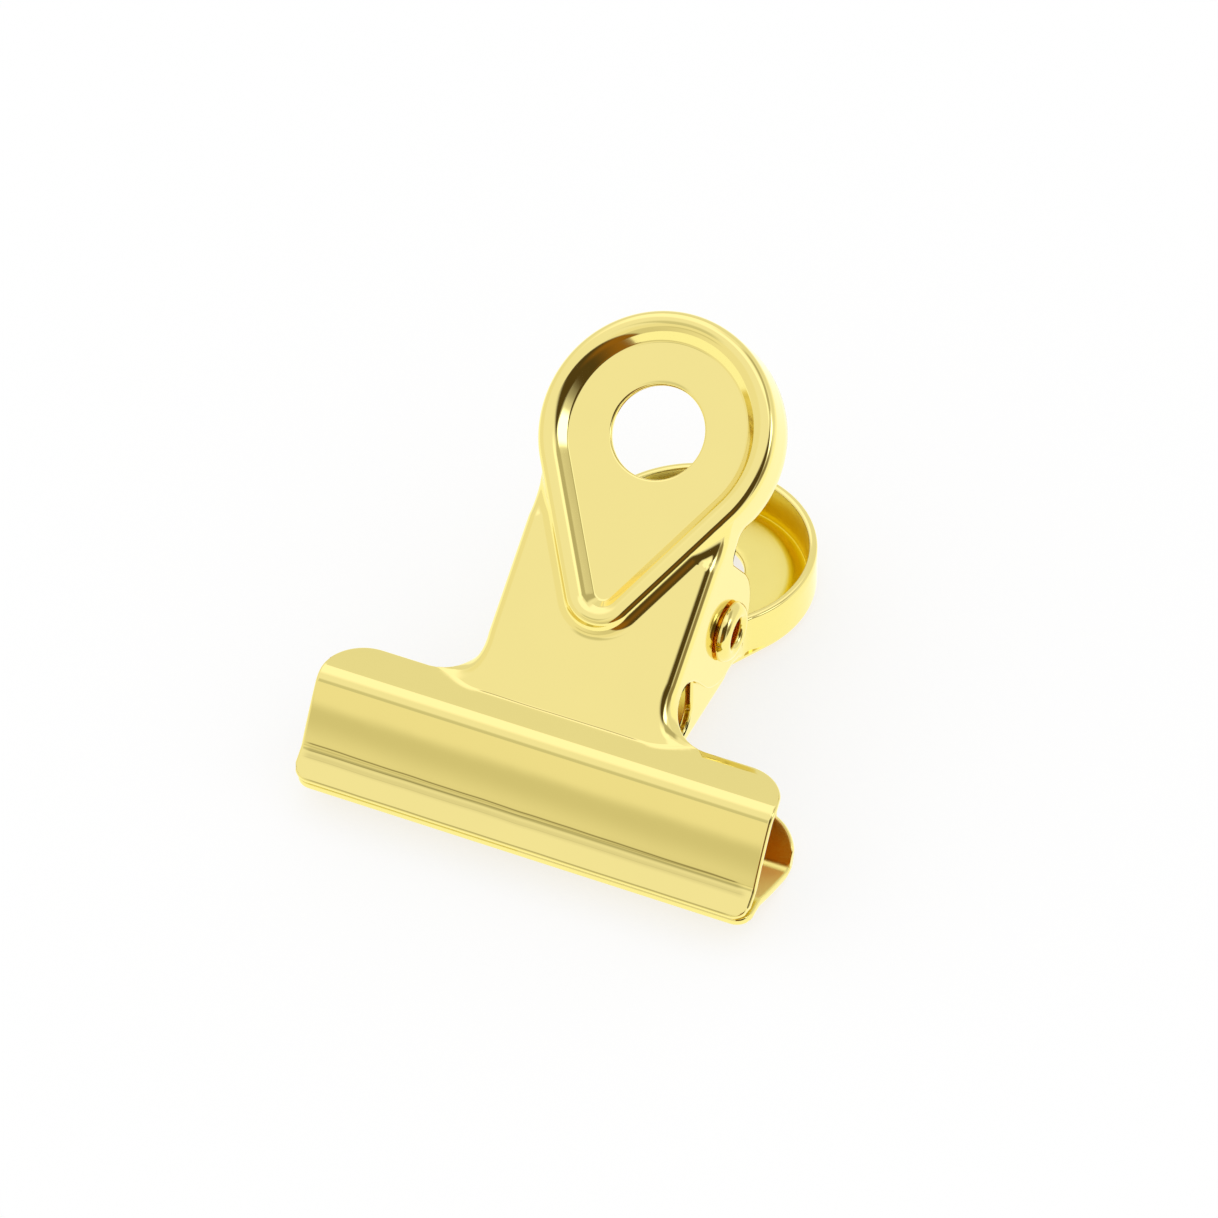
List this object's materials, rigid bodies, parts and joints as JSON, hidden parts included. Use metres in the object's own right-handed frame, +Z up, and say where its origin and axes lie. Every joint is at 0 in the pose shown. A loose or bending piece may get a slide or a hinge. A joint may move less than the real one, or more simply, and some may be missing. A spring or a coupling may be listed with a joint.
{
  "type": "spring clip",
  "caption": "Hinge clip of pressed gold-coloured sheet metal: wide jaws, drop-shaped thumb tabs with a hanging hole, a tubular rivet and a torsion spring.",
  "frame": {"origin": "middle of the clip's footprint, on the surface it lies on", "axes": "+Z up from that surface, +X along the jaws and the rivet, +Y from the jaws to the thumb tabs; the clip lies on its rear lever"},
  "size_m": [0.02, 0.023, 0.0153],
  "materials": {
    "gold_plate": "mirror-bright gold-coloured plating on pressed sheet",
    "gold_rivet": "bright gold-coloured plating on a rolled tube",
    "spring_wire": "gold-coloured plating on drawn spring wire"
  },
  "bodies": {
    "rear": {"rear_lever": "gold_plate", "pivot_rivet": "gold_rivet", "torsion_spring": "spring_wire"},
    "front": {"front_lever": "gold_plate"}
  },
  "joints": [
    {"name": "clip_hinge", "type": "hinge", "parent": "rear", "child": "front", "pos_m": [0, 0.00017, 0.00495], "axis": [-1, 0, 0], "range_deg": [0, 60], "stiffness_Nm_per_rad": 0.05, "springref_deg": -0.57, "deforming": ["torsion_spring"]}
  ]
}
